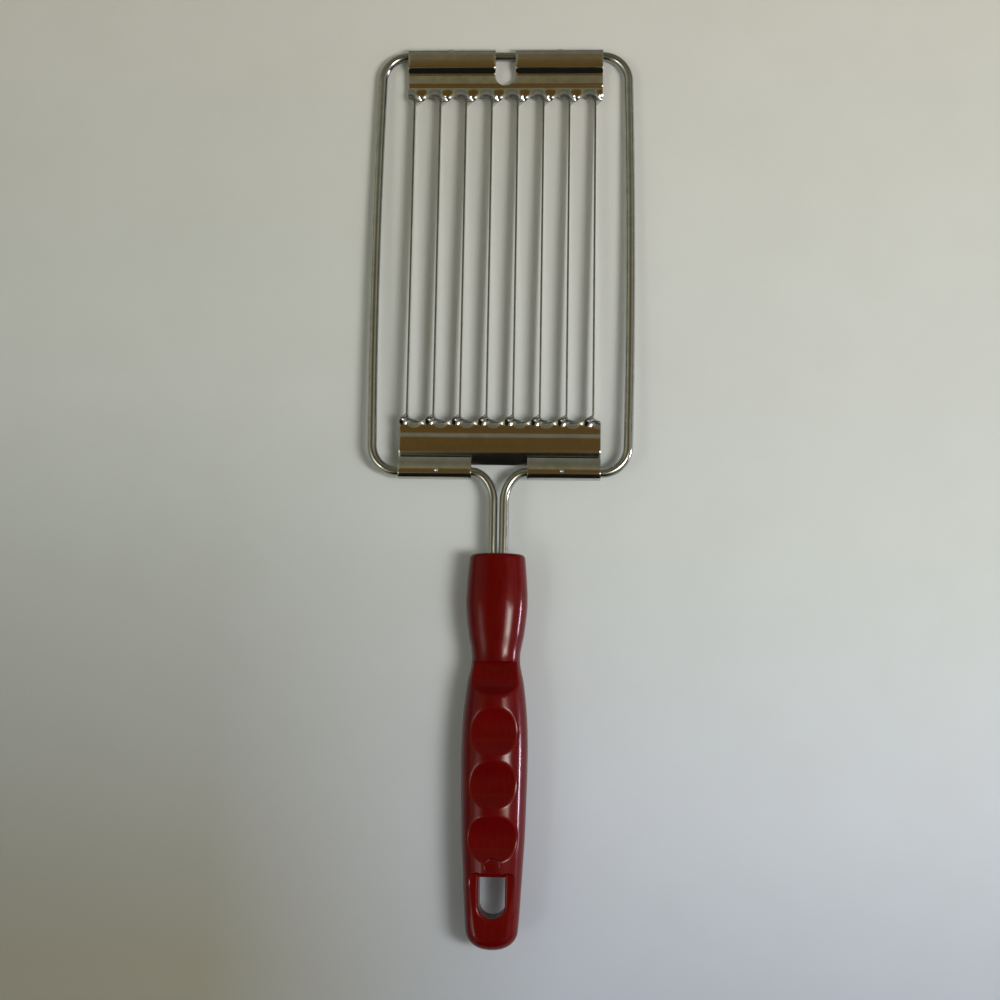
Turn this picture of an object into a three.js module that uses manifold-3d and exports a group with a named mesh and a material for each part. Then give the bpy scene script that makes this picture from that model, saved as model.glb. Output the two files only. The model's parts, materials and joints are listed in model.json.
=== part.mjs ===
// A hand-held tomato slicer: a bent wire frame, a gang of eight blades twisted out of one
// sheet and hemmed over the frame's two cross runs, and a moulded handle on the frame's legs.
// Millimetres. It is drawn flat first, with X across the blades, Y from the handle to the far
// end and Z out of the front, and the group is then laid down as it rests on a table.
import * as THREE from "three";
import { mergeVertices } from "three/addons/utils/BufferGeometryUtils.js";
import Module from "manifold-3d";

const wasm = await Module();
wasm.setup();

// Wire frame: one wire from leg to leg, its runs measured between centre lines
const wireDia = 3;
const frameLength = 138;
const farFrameWidth = 80.4;
const nearFrameWidth = 81;
const sideBow = 0.65;
const cornerRadius = 8.5;
const legSpacing = 3.5;
const legBendRun = 7;
const legBendDrop = 9.5;
const legFreeLength = 16.6;
const legInHandle = 38;
const wireSides = 12;
const wireBendSteps = 5;

// Blade gang: the sheet, and how far each feature of its bars lies inboard of the wire it holds
const sheet = 0.6;
const wireClearance = 0.3;
const bladeCount = 8;
const bladePitch = 8.4;
const bladeWidth = 4.8;
const farLap = 4.7;
const farFlat = 4.4;
const farSlope = 1.7;
const farPlain = 3.3;
const farStepRun = 1.4;
const farWeb = 3.1;
const farTwistRun = 3;
const nearSlopeStart = 6.8;
const nearPlain = 4.1;
const nearStepRun = 1.6;
const nearRim = 0.9;
const nearWeb = 2.7;
const nearTwistRun = 2.4;
const plainRise = 0.35;
const tabLap = 4.4;
const foldRun = 0.7;
const twistTurn = Math.PI / 2;
const twistPower = 1.5;
const edgeBevel = 1.2;
const edgeThickness = 0.12;
const notchWidth = 6.7;
const notchReach = 10.1;
const tabGap = 17.7;
const centreLip = 2.5;
const stakeRadius = 0.9;
const stakeDepth = 0.25;
const farStakeSpread = 35.6;
const nearStakeSpread = 39.4;
const stakeSides = 8;
const hemSteps = 3;
const foldSteps = 2;
const stepSteps = 4;
const webSteps = 3;
const archSteps = 4;
const twistSteps = 2;

// Handle: a lofted grip. Its neck is measured down from its top end, and its grooves, mould
// mark and hanging hole are measured up from its lower end
const handleLength = 119.1;
const gripWidth = 20.4;
const gripDepth = 17;
const handleTopRound = 1.2;
const handleEndRound = 5.5;
const roundPower = 2.2;
const sectionPower = 2.25;
const sectionSides = 28;
const handleSteps = 30;
const gripSamples = 900;
const roundSteps = 4;
const socketClearance = 0.3;
const neckStepDown = 33;
const neckStepDepth = 2.8;
const neckFloorLength = 7;
const neckFloorDepth = 2.6;
const neckRiseLength = 3.6;
const neckRiseDepth = 0.05;
const grooveSides = 96;
const markSides = 24;
const markDia = 4.4;
const markDepth = 0.2;
const markUp = 25.3;
const holeWidth = 8;
const holeLength = 12.2;
const holeUp = 21.8;
const holeRound = 3.9;
const tongueUp = 23.3;
const tongueTopWidth = 14.6;
const tongueTailWidth = 12.4;
const tongueRound = 2.2;
const tongueTopDepth = 2.6;
const tongueSlope = 0.015;

// Finger grooves: each one's height above the handle's lower end, its length and its depth
const grooves = [
  { up: 32.8, length: 14, depth: 2.5 },
  { up: 49.1, length: 14.2, depth: 2 },
  { up: 65.4, length: 14.2, depth: 2 },
];

// The grip's outline as shares: down the handle's length, of its width and of its depth
const gripShares = [
  { down: 0, width: 0.843, depth: 0.86 },
  { down: 0.121, width: 0.936, depth: 0.925 },
  { down: 0.2, width: 0.855, depth: 0.86 },
  { down: 0.271, width: 0.728, depth: 0.8 },
  { down: 0.337, width: 0.86, depth: 0.925 },
  { down: 0.415, width: 0.96, depth: 0.965 },
  { down: 0.497, width: 1, depth: 1 },
  { down: 0.622, width: 0.98, depth: 0.985 },
  { down: 0.723, width: 0.945, depth: 0.945 },
  { down: 0.798, width: 0.895, depth: 0.88 },
  { down: 0.871, width: 0.845, depth: 0.79 },
  { down: 0.93, width: 0.8, depth: 0.7 },
  { down: 1, width: 0.72, depth: 0.6 },
];

// How far cutters run past the faces that they cut
const overrun = 3;

// Weight of a cubic millimetre of steel and of moulded plastic, in grams
const steelDensity = 0.00785;
const plasticDensity = 0.00118;

const wireRadius = wireDia / 2;
const hemRadius = wireRadius + wireClearance + sheet / 2;
const slotHalf = (bladePitch - bladeWidth) / 2;
const handleTop = -legBendDrop - legFreeLength;
const farStep = frameLength - farFlat - farSlope - farPlain;
const farRoot = farStep - farStepRun;
const nearStep = nearSlopeStart + nearPlain;
const nearRoot = nearStep + nearStepRun + nearRim;

// Closed solid of a three.js geometry, its shared vertices merged
function solidOf(geometry) {
  const bare = geometry.index ? geometry.toNonIndexed() : geometry.clone();
  for (const name of Object.keys(bare.attributes)) {
    if (name !== "position") {
      bare.deleteAttribute(name);
    }
  }
  const merged = mergeVertices(bare);
  const vertProperties = new Float32Array(merged.attributes.position.array);
  const triVerts = new Uint32Array(merged.index.array);
  return new wasm.Manifold(new wasm.Mesh({ numProp: 3, vertProperties, triVerts }));
}

// Geometry of a solid, for a named mesh
function geometryOf(solid) {
  const { vertProperties, triVerts } = solid.getMesh();
  const geometry = new THREE.BufferGeometry();
  geometry.setAttribute("position", new THREE.BufferAttribute(vertProperties, 3));
  geometry.setIndex(new THREE.BufferAttribute(triVerts, 1));
  geometry.computeVertexNormals();
  return geometry;
}

// Geometry of a list of quads, each four points counter-clockwise seen from outside
function quadGeometry(quads) {
  const points = quads.flatMap(([a, b, c, d]) => [a, b, c, a, c, d]);
  return new THREE.BufferGeometry().setFromPoints(points);
}

// Skin through a row of closed rings of equal count, closed by a fan at each end
function loft(rings) {
  const quads = [];
  rings.slice(1).forEach((ring, i) => {
    ring.forEach((point, k) => {
      const next = (k + 1) % ring.length;
      quads.push([rings[i][k], rings[i][next], ring[next], point]);
    });
  });
  const closeEnd = (ring, flip) => {
    const centre = new THREE.Vector3();
    ring.forEach((point) => centre.add(point));
    centre.divideScalar(ring.length);
    ring.forEach((point, k) => {
      const next = ring[(k + 1) % ring.length];
      const corners = flip ? [centre, point, next] : [centre, next, point];
      quads.push([...corners, corners[2]]);
    });
  };
  closeEnd(rings[0], false);
  closeEnd(rings[rings.length - 1], true);
  return quadGeometry(quads);
}

// Prism of an outline drawn in Y and Z, reaching half its width to each side of X zero
function prismAcross(shape, width) {
  const prism = new THREE.ExtrudeGeometry(shape, { depth: width, bevelEnabled: false });
  prism.translate(0, 0, -width / 2);
  const turn = new THREE.Matrix4().set(0, 0, 1, 0, 1, 0, 0, 0, 0, 1, 0, 0, 0, 0, 0, 1);
  return prism.applyMatrix4(turn);
}

function polygon(points) {
  return new THREE.Shape(points.map(([a, b]) => new THREE.Vector2(a, b)));
}

function smooth(share) {
  const held = Math.min(Math.max(share, 0), 1);
  return held * held * (3 - 2 * held);
}

// Wire frame

// Centre line of the right half of the frame, from the leg's end to the middle of the far run
function halfWirePath() {
  const legX = legSpacing / 2;
  const nearHalf = nearFrameWidth / 2;
  const farHalf = farFrameWidth / 2;
  const path = new THREE.Path();
  path.moveTo(legX, handleTop - legInHandle);
  path.lineTo(legX, -legBendDrop);
  path.absellipse(legX + legBendRun, -legBendDrop, legBendRun, legBendDrop, Math.PI, Math.PI / 2, true);
  path.lineTo(nearHalf - cornerRadius, 0);
  path.absarc(nearHalf - cornerRadius, cornerRadius, cornerRadius, -Math.PI / 2, 0, false);
  path.quadraticCurveTo(
    (nearHalf + farHalf) / 2 + 2 * sideBow,
    frameLength / 2,
    farHalf,
    frameLength - cornerRadius,
  );
  path.absarc(farHalf - cornerRadius, frameLength - cornerRadius, cornerRadius, 0, Math.PI / 2, false);
  path.lineTo(0, frameLength);
  return path.getPoints(wireBendSteps);
}

function wireFrame() {
  const right = halfWirePath();
  const left = right.slice(0, -1).map((point) => new THREE.Vector2(-point.x, point.y));
  const line = [...right, ...left.reverse()];
  const rings = line.map((point, i) => {
    const before = line[Math.max(i - 1, 0)];
    const after = line[Math.min(i + 1, line.length - 1)];
    const along = after.clone().sub(before).normalize();
    return Array.from({ length: wireSides }, (_, k) => {
      const angle = (2 * Math.PI * k) / wireSides;
      const out = wireRadius * Math.cos(angle);
      const up = wireRadius * Math.sin(angle);
      return new THREE.Vector3(point.x - along.y * out, point.y + along.x * out, up);
    });
  });
  return solidOf(loft(rings));
}

// Blade gang

// Runs a path to just short of a corner and rounds it towards the next point
function foldTo(path, corner, next) {
  const here = path.currentPoint;
  const before = corner.clone().add(here.clone().sub(corner).setLength(foldRun));
  const after = corner.clone().add(next.clone().sub(corner).setLength(foldRun));
  path.lineTo(before.x, before.y);
  path.quadraticCurveTo(corner.x, corner.y, after.x, after.y);
}

// Runs a path along a shallow step in the sheet, level at both of its ends
function stepTo(path, y, z) {
  const { x: fromY, y: fromZ } = path.currentPoint;
  const half = (fromY + y) / 2;
  path.bezierCurveTo(half, fromZ, half, z, y, z);
}

// Far bar in Y and Z: the lap behind the wire, the roll round it, the flat in front of it,
// the slope down to the plain strip and the step down to the plane of the blades
function farBarLine() {
  const path = new THREE.Path();
  const flatEnd = frameLength - farFlat;
  const slopeEnd = flatEnd - farSlope;
  path.moveTo(frameLength - farLap, -hemRadius);
  path.lineTo(frameLength, -hemRadius);
  path.absarc(frameLength, 0, hemRadius, -Math.PI / 2, Math.PI / 2, false);
  foldTo(path, new THREE.Vector2(flatEnd, hemRadius), new THREE.Vector2(slopeEnd, plainRise));
  foldTo(path, new THREE.Vector2(slopeEnd, plainRise), new THREE.Vector2(farStep, plainRise));
  path.lineTo(farStep, plainRise);
  stepTo(path, farRoot, 0);
  return path;
}

// Near bar in Y and Z: the step up to the plain strip, the slope down behind the wire, which
// runs straight on into the roll round it, and the tab's lap in front of it
function nearBarLine() {
  const path = new THREE.Path();
  const fold = new THREE.Vector2(nearSlopeStart, plainRise);
  const slopeAngle = Math.asin(hemRadius / fold.length()) + fold.angle();
  const rollStart = slopeAngle - Math.PI / 2;
  const rollPoint = new THREE.Vector2(hemRadius * Math.cos(rollStart), hemRadius * Math.sin(rollStart));
  path.moveTo(nearRoot - nearRim, 0);
  stepTo(path, nearStep, plainRise);
  foldTo(path, fold, rollPoint);
  path.lineTo(rollPoint.x, rollPoint.y);
  path.absarc(0, 0, hemRadius, rollStart, (-3 * Math.PI) / 2, true);
  path.lineTo(tabLap, hemRadius);
  return path;
}

// Points of a bar's line, with the roll round the wire and the step in finer steps than the folds
function barPoints(path) {
  const stepsOf = (curve) => {
    if (curve.isLineCurve) {
      return 1;
    }
    if (curve.isEllipseCurve) {
      return 2 * hemSteps;
    }
    return curve.isCubicBezierCurve ? stepSteps : foldSteps;
  };
  return path.curves.flatMap((curve) => curve.getPoints(stepsOf(curve)).slice(1));
}

// Rows of the twisted part from a root line to the straight blade: how far each lies from the
// root, the blade's turn there, half the slot beside it, and how much it still follows the web
function twistRows(web, run) {
  const reach = web + run;
  const rows = [];
  for (let i = 0; i < webSteps; i += 1) {
    rows.push({ from: (web * i) / webSteps, slot: 0, web: 1 });
  }
  for (let i = 0; i <= archSteps; i += 1) {
    const angle = (Math.PI / 2) * (i / archSteps);
    const past = slotHalf * (1 - Math.cos(angle));
    rows.push({ from: web + past, slot: slotHalf * Math.sin(angle), web: 1 - smooth(past / slotHalf) });
  }
  for (let i = 1; i <= twistSteps; i += 1) {
    const past = slotHalf + ((run - slotHalf) * i) / twistSteps;
    rows.push({ from: web + past, slot: slotHalf, web: 0 });
  }
  return rows.map((row) => ({ ...row, turn: twistTurn * smooth(row.from / reach) ** twistPower }));
}

// Across each blade: its two edges, its quarter, its middle and the start of its ground bevel
const acrossShares = [-1, -0.5, 0, 1 - edgeBevel / (bladeWidth / 2), 1];

// Point of the sheet's middle plane on one strip of a row
function stripPoint(strip, share, row) {
  const middle = (strip - (bladeCount - 1) / 2) * bladePitch;
  const outer = share < 0 ? strip === 0 : strip === bladeCount - 1;
  const reach = outer ? bladeWidth / 2 : bladePitch / 2 - row.slot;
  const side = share * reach;
  const waveTurn = (2 * Math.PI) / bladePitch;
  const wave = (-Math.tan(row.turn * row.web) * Math.sin(waveTurn * side)) / waveTurn;
  const x = middle + side * THREE.MathUtils.lerp(Math.cos(row.turn), 1, row.web);
  const z = THREE.MathUtils.lerp(-side * Math.sin(row.turn), wave, row.web);
  return new THREE.Vector3(x, row.y, row.z + z);
}

// Every row of the sheet from the far lap's edge to the near tabs' edge. A row of a bar is
// plain: it needs only its two ends
function sheetRows() {
  const bar = { slot: 0, web: 1, turn: 0, plain: true };
  const far = barPoints(farBarLine()).map((point) => ({ ...bar, y: point.x, z: point.y }));
  const lapEdge = { ...bar, y: frameLength - farLap, z: -hemRadius };
  const near = barPoints(nearBarLine()).map((point) => ({ ...bar, y: point.x, z: point.y }));
  const rim = { ...bar, y: nearRoot - nearRim, z: 0 };
  const farTwist = twistRows(farWeb, farTwistRun);
  const nearTwist = twistRows(nearWeb, nearTwistRun).reverse();
  const farRows = farTwist.map((row) => ({ ...row, y: farRoot - row.from, z: 0 }));
  const nearRows = nearTwist.map((row) => ({ ...row, y: nearRoot + row.from, z: 0 }));
  return [lapEdge, ...far.slice(0, -1), ...farRows, ...nearRows, rim, ...near];
}

// One skin between two lines of points across the sheet, the upper one further along Y. Lines
// of equal count make quads, and a line of two ends is fanned to the points of the other
function skinBetween(upper, lower) {
  if (upper.length === lower.length) {
    return lower.slice(1).map((point, i) => [upper[i], lower[i], point, upper[i + 1]]);
  }
  const fine = upper.length > lower.length ? upper : lower;
  const [left, right] = fine === upper ? lower : upper;
  const half = Math.floor(fine.length / 2);
  const fans = fine.slice(1).map((point, i) => {
    const corner = i < half ? left : right;
    return fine === upper ? [fine[i], corner, point, point] : [corner, fine[i], point, point];
  });
  const middle = fine === upper ? [fine[half], left, right, right] : [left, fine[half], right, right];
  return [...fans, middle];
}

// The whole stamping as a plate with long slots: a front and a back skin half the sheet's
// thickness from its middle plane, and walls along every edge
function bladeSheet() {
  const rows = sheetRows();
  const last = acrossShares.length - 1;
  const blades = Array.from({ length: bladeCount }, (_, blade) => blade);
  const strips = rows.map((row) =>
    blades.map((blade) => acrossShares.map((share) => stripPoint(blade, share, row))),
  );
  const joined = (r) => rows[r].slot === 0;

  // Lines of points across one row: one line over all strips where the sheet is whole, or one
  // for each blade where it is slotted
  const lines = strips.map((row, r) => {
    const whole = [row[0], ...row.slice(1).map((strip) => strip.slice(1))].flat();
    return joined(r) ? [whole] : row;
  });
  const neighbour = (r, step, l, i) => {
    const next = Math.min(Math.max(r + step, 0), rows.length - 1);
    if (joined(r) === joined(next)) {
      return lines[next][l][i];
    }
    return joined(r) ? lines[r][l][i] : lines[next][0][l * last + i];
  };
  const offsetLines = (side) =>
    lines.map((row, r) =>
      row.map((line, l) =>
        line.map((point, i) => {
          const across = line[Math.min(i + 1, line.length - 1)].clone().sub(line[Math.max(i - 1, 0)]);
          const down = neighbour(r, 1, l, i).clone().sub(neighbour(r, -1, l, i));
          const ground = i === last && rows[r].web === 0;
          const offset = (side * (ground ? edgeThickness : sheet)) / 2;
          return point.clone().addScaledVector(down.cross(across).normalize(), offset);
        }),
      ),
    );
  const front = offsetLines(1);
  const back = offsetLines(-1);
  const ends = (line) => [line[0], line[line.length - 1]];
  const piece = (side, r, l) => {
    const line = side[r][0];
    if (rows[r].plain) {
      return ends(line);
    }
    return joined(r) && l !== null ? line.slice(l * last, (l + 1) * last + 1) : side[r][l ?? 0];
  };
  const quads = [];
  for (let r = 0; r < rows.length - 1; r += 1) {
    const whole = joined(r) && joined(r + 1);
    for (const blade of whole ? [null] : blades) {
      const [upFront, downFront] = [piece(front, r, blade), piece(front, r + 1, blade)];
      const [upBack, downBack] = [piece(back, r, blade), piece(back, r + 1, blade)];
      quads.push(...skinBetween(upFront, downFront));
      quads.push(...skinBetween(upBack, downBack).map((quad) => quad.reverse()));
      quads.push([upFront[0], upBack[0], downBack[0], downFront[0]]);
      quads.push([upFront.at(-1), downFront.at(-1), downBack.at(-1), upBack.at(-1)]);
    }
  }
  const top = [ends(front[0][0]), ends(back[0][0])];
  const bottom = [ends(front.at(-1)[0]), ends(back.at(-1)[0])];
  quads.push([top[0][0], top[0][1], top[1][1], top[1][0]]);
  quads.push([bottom[0][0], bottom[1][0], bottom[1][1], bottom[0][1]]);
  return solidOf(quadGeometry(quads));
}

// Round-ended notch through the far bar, over the wire
function notchCutter() {
  const half = notchWidth / 2;
  const apex = frameLength - notchReach;
  const outer = frameLength + hemRadius + overrun;
  const shape = new THREE.Shape();
  shape.moveTo(half, apex + half);
  shape.lineTo(half, outer);
  shape.lineTo(-half, outer);
  shape.lineTo(-half, apex + half);
  shape.absarc(0, apex + half, half, Math.PI, 2 * Math.PI, false);
  const depth = 2 * (hemRadius + overrun);
  const cutter = new THREE.ExtrudeGeometry(shape, { depth, bevelEnabled: false, curveSegments: wireSides });
  return solidOf(cutter.translate(0, 0, -depth / 2));
}

// Clears the middle of the near bar for the two legs: the roll and the lap go, and the slope
// stops at its straight lip behind the wire
function tabGapCutter() {
  const out = hemRadius + overrun;
  const lapEnd = (tabLap + nearSlopeStart) / 2;
  const underLap = hemRadius / 2;
  const outline = polygon([
    [-out, -out],
    [centreLip, -out],
    [centreLip, underLap],
    [lapEnd, underLap],
    [lapEnd, out],
    [-out, out],
  ]);
  return solidOf(prismAcross(outline, tabGap));
}

// Punch marks that pinch the hems on the wire, one on each side of the middle of each bar
function stakeCutters() {
  const places = [
    [farStakeSpread / 2, frameLength],
    [nearStakeSpread / 2, 0],
  ];
  const surface = hemRadius + sheet / 2;
  return places.flatMap(([x, y]) =>
    [-1, 1].map((side) => {
      const ball = new THREE.SphereGeometry(stakeRadius, stakeSides, stakeSides);
      return solidOf(ball.translate(side * x, y, surface + stakeRadius - stakeDepth));
    }),
  );
}

function bladeGang() {
  const cutters = [notchCutter(), tabGapCutter(), ...stakeCutters()];
  return cutters.reduce((gang, cutter) => gang.subtract(cutter), bladeSheet());
}

// Handle

// Half width and half depth of the handle by its length, through the outline's shares
const gripLine = new THREE.CatmullRomCurve3(
  gripShares.map(
    ({ down, width, depth }) =>
      new THREE.Vector3((gripWidth / 2) * width, handleLength * down, (gripDepth / 2) * depth),
  ),
  false,
  "centripetal",
);
const gripPoints = gripLine.getPoints(gripSamples);

// Half width (x) and half depth (z) at a length (y) down the handle
function gripAt(down) {
  const above = gripPoints.findLast((point) => point.y <= down) ?? gripPoints[0];
  const below = gripPoints.find((point) => point.y >= down) ?? gripPoints[gripPoints.length - 1];
  const span = below.y - above.y;
  const share = span > 0 ? (down - above.y) / span : 0;
  return above.clone().lerp(below, share);
}

// How far a rounded end has drawn in at a share of its depth
function endShare(share) {
  return (1 - share ** roundPower) ** (1 / roundPower);
}

// Closed oval section of the handle, drawn in from its outline by a length or by a share
function gripRing(down, drawnIn, share) {
  const { x: halfWidth, z: halfDepth } = gripAt(down);
  return Array.from({ length: sectionSides }, (_, k) => {
    const angle = (2 * Math.PI * k) / sectionSides;
    const across = Math.cos(angle);
    const out = Math.sin(angle);
    const x = Math.sign(across) * Math.abs(across) ** (2 / sectionPower) * (halfWidth - drawnIn) * share;
    const z = Math.sign(out) * Math.abs(out) ** (2 / sectionPower) * (halfDepth - drawnIn) * share;
    return new THREE.Vector3(x, handleTop - down, z);
  });
}

function gripBody() {
  const rings = [];
  for (let i = 0; i < roundSteps; i += 1) {
    const angle = (Math.PI / 2) * (i / roundSteps);
    const down = handleTopRound * (1 - Math.sin(angle));
    rings.unshift(gripRing(down, handleTopRound * (1 - Math.cos(angle)), 1));
  }
  rings.unshift(gripRing(0, handleTopRound, 1));
  const roundFrom = handleLength - handleEndRound;
  for (let i = 1; i <= handleSteps; i += 1) {
    rings.push(gripRing(handleTopRound + ((roundFrom - handleTopRound) * i) / handleSteps, 0, 1));
  }
  const endSteps = 2 * roundSteps;
  const reach = (i) => Math.sin((Math.PI / 2) * (i / (endSteps + 1)));
  for (let i = 1; i <= endSteps; i += 1) {
    const down = roundFrom + (handleEndRound * reach(i)) / reach(endSteps);
    rings.push(gripRing(down, 0, endShare(reach(i))));
  }
  return solidOf(loft(rings));
}

// Round-ended socket that takes both legs, open at the handle's top
function socketCutter() {
  const radius = wireRadius + socketClearance;
  const legX = legSpacing / 2;
  const depth = legInHandle + socketClearance + overrun;
  const shape = new THREE.Shape();
  shape.absarc(legX, 0, radius, -Math.PI / 2, Math.PI / 2, false);
  shape.absarc(-legX, 0, radius, Math.PI / 2, (3 * Math.PI) / 2, false);
  const cutter = new THREE.ExtrudeGeometry(shape, { depth, bevelEnabled: false, curveSegments: wireSides });
  cutter.rotateX(Math.PI / 2);
  return solidOf(cutter.translate(0, handleTop + overrun, 0));
}

// Hollow in front of the grip: a step down from the neck to a flat floor, then a steep rise
function neckHollowCutter() {
  const floorEnd = neckStepDown + neckFloorLength;
  const end = floorEnd + neckRiseLength;
  const top = gripDepth / 2 + overrun;
  const outline = polygon([
    [handleTop - end, gripAt(end).z - neckRiseDepth],
    [handleTop - floorEnd, gripAt(floorEnd).z - neckFloorDepth],
    [handleTop - neckStepDown, gripAt(neckStepDown).z - neckStepDepth],
    [handleTop - neckStepDown, top],
    [handleTop - end, top],
  ]);
  return solidOf(prismAcross(outline, gripWidth + overrun));
}

// Round finger groove across the front of the grip
function grooveCutter({ up, length, depth }) {
  const down = handleLength - up;
  const radius = ((length / 2) ** 2 + depth ** 2) / (2 * depth);
  const cutter = new THREE.CylinderGeometry(radius, radius, gripWidth + overrun, grooveSides);
  cutter.rotateZ(Math.PI / 2);
  return solidOf(cutter.translate(0, handleTop - down, gripAt(down).z - depth + radius));
}

// Shallow round mark left by the mould between the last recess and the hanging hole
function markCutter() {
  const down = handleLength - markUp;
  const floor = gripAt(down).z - markDepth;
  const height = gripDepth / 2 + overrun - floor;
  const cutter = new THREE.CylinderGeometry(markDia / 2, markDia / 2, height, markSides);
  cutter.rotateX(Math.PI / 2);
  return solidOf(cutter.translate(0, handleTop - down, floor + height / 2));
}

// Hanging hole, square at its top and rounded at its lower end
function holeCutter() {
  const half = holeWidth / 2;
  const top = handleTop - handleLength + holeUp;
  const end = top - holeLength;
  const shape = new THREE.Shape();
  shape.moveTo(half, top);
  shape.lineTo(-half, top);
  shape.lineTo(-half, end + holeRound);
  shape.absarc(holeRound - half, end + holeRound, holeRound, Math.PI, 1.5 * Math.PI, false);
  shape.absarc(half - holeRound, end + holeRound, holeRound, 1.5 * Math.PI, 2 * Math.PI, false);
  const depth = gripDepth + 2 * overrun;
  const cutter = new THREE.ExtrudeGeometry(shape, { depth, bevelEnabled: false, curveSegments: archSteps });
  return solidOf(cutter.translate(0, 0, -depth / 2));
}

// Tongue-shaped facet round the hanging hole, from its rounded shoulder out over the handle's end
function tongueCutter() {
  const topHalf = tongueTopWidth / 2;
  const tailHalf = tongueTailWidth / 2;
  const tail = -tongueUp - overrun;
  const shape = new THREE.Shape();
  shape.moveTo(tailHalf, tail);
  shape.lineTo(topHalf, -tongueRound);
  shape.quadraticCurveTo(topHalf, 0, topHalf - tongueRound, 0);
  shape.lineTo(tongueRound - topHalf, 0);
  shape.quadraticCurveTo(-topHalf, 0, -topHalf, -tongueRound);
  shape.lineTo(-tailHalf, tail);
  const depth = gripDepth / 2 + overrun;
  const down = handleLength - tongueUp;
  const cutter = new THREE.ExtrudeGeometry(shape, { depth, bevelEnabled: false, curveSegments: archSteps });
  cutter.rotateX(Math.atan(tongueSlope));
  return solidOf(cutter.translate(0, handleTop - down, gripAt(down).z - tongueTopDepth));
}

function handle() {
  const cutters = [
    socketCutter(),
    neckHollowCutter(),
    ...grooves.map(grooveCutter),
    markCutter(),
    tongueCutter(),
    holeCutter(),
  ];
  return cutters.reduce((body, cutter) => body.subtract(cutter), gripBody());
}

// Assembly

const chrome = { color: 0xc9cac6, roughness: 0.12, metalness: 1 };
const redPlastic = { color: 0x9b0f16, roughness: 0.25, metalness: 0 };

const pieces = [
  { name: "wire_frame", solid: wireFrame(), finish: chrome, density: steelDensity },
  { name: "blade_gang", solid: bladeGang(), finish: chrome, density: steelDensity },
  { name: "handle", solid: handle(), finish: redPlastic, density: plasticDensity },
];

const lying = new THREE.Group();
for (const { name, solid, finish } of pieces) {
  const mesh = new THREE.Mesh(geometryOf(solid), new THREE.MeshStandardMaterial(finish));
  mesh.name = name;
  lying.add(mesh);
}

// Weight and moment about Y zero of a solid, summed over the pyramids on its triangles
function balance(geometry, density) {
  const point = geometry.attributes.position;
  const corner = (i) => new THREE.Vector3().fromBufferAttribute(point, geometry.index.getX(i));
  let weight = 0;
  let moment = 0;
  for (let i = 0; i < geometry.index.count; i += 3) {
    const [a, b, c] = [corner(i), corner(i + 1), corner(i + 2)];
    const part = (density * a.dot(b.clone().cross(c))) / 6;
    weight += part;
    moment += (part * (a.y + b.y + c.y)) / 4;
  }
  return { weight, moment };
}

// Tilt of the table under the slicer: the edge of its lower outline, seen from the side, that
// lies under its balance point
function restingTilt(meshes) {
  const sums = meshes.map((mesh, i) => balance(mesh.geometry, pieces[i].density));
  const weight = sums.reduce((total, { weight: part }) => total + part, 0);
  const balanceY = sums.reduce((total, { moment }) => total + moment, 0) / weight;
  const points = meshes.flatMap((mesh) => {
    const point = mesh.geometry.attributes.position;
    return Array.from({ length: point.count }, (_, i) => ({ y: point.getY(i), z: point.getZ(i) }));
  });
  const behind = points.filter(({ y }) => y < balanceY);
  const ahead = points.filter(({ y }) => y >= balanceY);
  const slope = (a, b) => (b.z - a.z) / (b.y - a.y);
  const supports = (a) => ahead.reduce((best, b) => (slope(a, b) < slope(a, best) ? b : best));
  let heel = behind.reduce((low, a) => (a.z < low.z ? a : low));
  let toe = supports(heel);
  for (let round = 0; round < meshes.length; round += 1) {
    heel = behind.reduce((best, a) => (slope(a, toe) > slope(best, toe) ? a : best));
    toe = supports(heel);
  }
  return Math.atan(slope(heel, toe));
}

// Lays the slicer down on its handle and its far hem, over the middle of its own footprint
lying.rotation.x = -restingTilt(lying.children);
lying.updateMatrixWorld(true);
const footprint = new THREE.Box3().setFromObject(lying, true);
const middle = footprint.getCenter(new THREE.Vector3());
lying.position.set(-middle.x, -middle.y, -footprint.min.z);

const slicer = new THREE.Group();
slicer.add(lying);

export default slicer;
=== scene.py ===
import json
import math

import bmesh
import bpy
from mathutils import Euler, Matrix, Vector


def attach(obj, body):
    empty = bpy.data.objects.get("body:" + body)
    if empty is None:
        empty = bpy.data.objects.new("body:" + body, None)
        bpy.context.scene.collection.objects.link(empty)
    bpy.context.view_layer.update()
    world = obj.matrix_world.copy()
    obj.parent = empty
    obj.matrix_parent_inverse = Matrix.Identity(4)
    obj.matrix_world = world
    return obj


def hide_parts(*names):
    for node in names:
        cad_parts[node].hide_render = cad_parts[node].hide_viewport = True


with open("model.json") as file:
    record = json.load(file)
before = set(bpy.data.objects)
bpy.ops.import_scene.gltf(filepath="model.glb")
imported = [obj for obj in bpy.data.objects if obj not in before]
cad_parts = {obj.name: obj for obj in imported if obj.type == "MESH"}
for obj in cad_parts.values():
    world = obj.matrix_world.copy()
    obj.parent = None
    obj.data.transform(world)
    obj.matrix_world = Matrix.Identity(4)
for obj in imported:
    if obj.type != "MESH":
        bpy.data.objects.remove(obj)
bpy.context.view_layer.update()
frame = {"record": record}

MM = 0.001

# Wire frame
WIRE_DIA = 3
FRAME_LENGTH = 138
FAR_FRAME_WIDTH = 80.4
NEAR_FRAME_WIDTH = 81
SIDE_BOW = 0.65
CORNER_RADIUS = 8.5
LEG_SPACING = 3.5
LEG_BEND_RUN = 7
LEG_BEND_DROP = 9.5
LEG_FREE_LENGTH = 16.6
LEG_IN_HANDLE = 38
WIRE_SIDES = 32
BEND_STEPS = 20

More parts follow.
